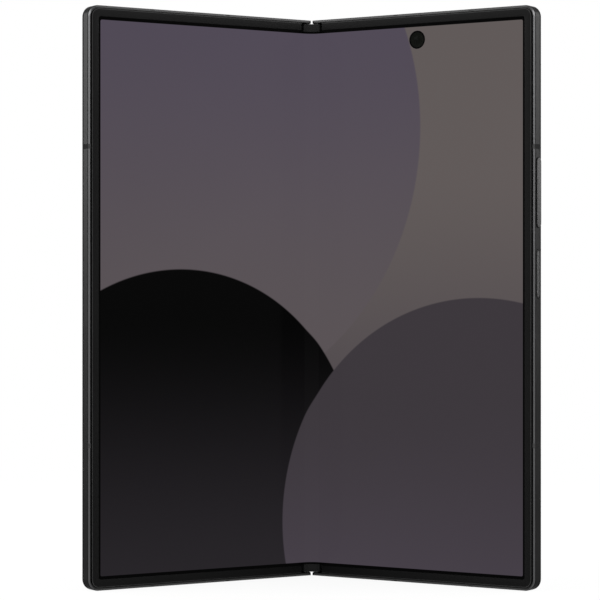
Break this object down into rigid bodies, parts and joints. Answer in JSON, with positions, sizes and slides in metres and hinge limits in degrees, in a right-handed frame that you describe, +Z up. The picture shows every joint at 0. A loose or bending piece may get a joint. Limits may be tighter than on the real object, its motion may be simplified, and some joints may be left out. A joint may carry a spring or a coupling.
{
  "type": "foldable smartphone",
  "caption": "Book-style foldable phone, half open on a geared spine hinge, with a folding inner screen, cover screen, camera island, keys and card tray.",
  "frame": {"origin": "centre of the standing phone's box, on the surface that its bottom edges stand on", "axes": "+Z up along the hinge, +Y from the inner screen towards the spine's back, +X towards the half with the cameras and keys"},
  "size_m": [0.1242, 0.0418, 0.1584],
  "materials": {
    "dark_metal": "anodised, fine satin",
    "hinge_steel": "machined steel",
    "spring_steel": "drawn wire and sheet",
    "bezel_rubber": "matte soft plastic",
    "break_plastic": "moulded antenna plastic",
    "folding_screen": "glossy film over the lit screen",
    "support_metal": "thin rolled sheet",
    "back_glass": "matte dark glass",
    "front_glass": "glossy dark glass",
    "lens_glass": "clear coated lens window",
    "cover_screen": "dark display panel",
    "camera_black": "black camera housings",
    "battery_film": "wrapped battery cell",
    "circuit_board": "coated circuit board",
    "shield_metal": "tinned sheet cans",
    "copper_trace": "copper on polyimide film",
    "flash_lens": "milky flash lens",
    "magnet_grey": "nickel-plated magnets",
    "sensor_glass": "dark coated sensor"
  },
  "bodies": {
    "hinge_spine": {"spine_cover": "dark_metal", "spine_end_caps": "break_plastic", "hinge_brackets": "hinge_steel", "hinge_sliding_cams": "hinge_steel", "hinge_springs": "spring_steel", "hinge_screws": "hinge_steel", "fold_backing_plate": "support_metal", "display_fold_section": "folding_screen", "hinge_flex_cables": "copper_trace"},
    "right_sync_arm": {"right_sync_arms": "hinge_steel"},
    "left_sync_arm": {"left_sync_arms": "hinge_steel"},
    "right_idler": {"right_idler_gears": "hinge_steel"},
    "left_idler": {"left_idler_gears": "hinge_steel"},
    "camera_half": {"right_frame": "dark_metal", "right_bezel": "bezel_rubber", "display_right": "folding_screen", "right_support_plate": "support_metal", "right_wing_plate": "support_metal", "right_hinge_rails": "hinge_steel", "right_rail_screws": "hinge_steel", "right_antenna_breaks": "break_plastic", "rear_glass": "back_glass", "camera_island": "dark_metal", "lens_rings": "dark_metal", "lens_windows": "lens_glass", "rear_camera_modules": "camera_black", "flash_led": "flash_lens", "inner_camera": "camera_black", "right_battery": "battery_film", "main_board": "circuit_board", "board_shields": "shield_metal", "usb_port": "shield_metal", "loudspeaker": "camera_black", "charging_coil": "copper_trace", "key_switches": "circuit_board", "right_magnets": "magnet_grey"},
    "volume_key_body": {"volume_key": "dark_metal"},
    "side_key_body": {"side_key": "dark_metal", "fingerprint_sensor": "sensor_glass"},
    "cover_half": {"left_frame": "dark_metal", "left_bezel": "bezel_rubber", "display_left": "folding_screen", "left_support_plate": "support_metal", "left_wing_plate": "support_metal", "left_hinge_rails": "hinge_steel", "left_rail_screws": "hinge_steel", "left_antenna_breaks": "break_plastic", "cover_glass": "front_glass", "cover_display_panel": "cover_screen", "cover_camera": "camera_black", "earpiece": "camera_black", "left_battery": "battery_film", "left_sub_board": "circuit_board", "sim_reader": "shield_metal", "haptic_motor": "magnet_grey", "left_magnets": "magnet_grey"},
    "sim_tray_body": {"sim_tray": "dark_metal"}
  },
  "joints": [
    {"name": "right_fold", "type": "hinge", "parent": "hinge_spine", "child": "camera_half", "pos_m": [0.00139, 0.01767, 0.0792], "axis": [0, 0, -1], "range_deg": [-32.5, 57.5], "deforming": ["display_fold_section", "fold_backing_plate", "hinge_flex_cables"]},
    {"name": "left_fold", "type": "hinge", "parent": "hinge_spine", "child": "cover_half", "pos_m": [-0.00139, 0.01767, 0.0792], "axis": [0, 0, 1], "range_deg": [-32.5, 57.5]},
    {"name": "right_arm_turn", "type": "hinge", "parent": "hinge_spine", "child": "right_sync_arm", "pos_m": [0.00186, 0.01883, 0.0792], "axis": [0, 0, -1], "range_deg": [-32.5, 57.5]},
    {"name": "left_arm_turn", "type": "hinge", "parent": "hinge_spine", "child": "left_sync_arm", "pos_m": [-0.00186, 0.01883, 0.0792], "axis": [0, 0, 1], "range_deg": [-32.5, 57.5]},
    {"name": "right_idler_turn", "type": "hinge", "parent": "hinge_spine", "child": "right_idler", "pos_m": [0.00062, 0.01883, 0.0792], "axis": [0, 0, 1], "range_deg": [-32.5, 57.5]},
    {"name": "left_idler_turn", "type": "hinge", "parent": "hinge_spine", "child": "left_idler", "pos_m": [-0.00062, 0.01883, 0.0792], "axis": [0, 0, -1], "range_deg": [-32.5, 57.5]},
    {"name": "volume_rock", "type": "hinge", "parent": "camera_half", "child": "volume_key_body", "pos_m": [0.05984, -0.01819, 0.1077], "axis": [0.5373, 0.8434, 0], "range_deg": [-1.2, 1.2], "stiffness_Nm_per_rad": 0.4},
    {"name": "side_key_press", "type": "slide", "parent": "camera_half", "child": "side_key_body", "axis": [-0.8434, 0.5373, 0], "range_m": [0, 0.00025], "stiffness_N_per_m": 3000},
    {"name": "sim_tray_slide", "type": "slide", "parent": "cover_half", "child": "sim_tray_body", "axis": [0, 0, -1], "range_m": [0, 0.014]}
  ],
  "couplings": [
    {"joint": "left_fold", "follows": "right_fold", "ratio": 1},
    {"joint": "right_arm_turn", "follows": "right_fold", "ratio": 1},
    {"joint": "left_arm_turn", "follows": "right_fold", "ratio": 1},
    {"joint": "right_idler_turn", "follows": "right_fold", "ratio": 1},
    {"joint": "left_idler_turn", "follows": "right_fold", "ratio": 1}
  ]
}
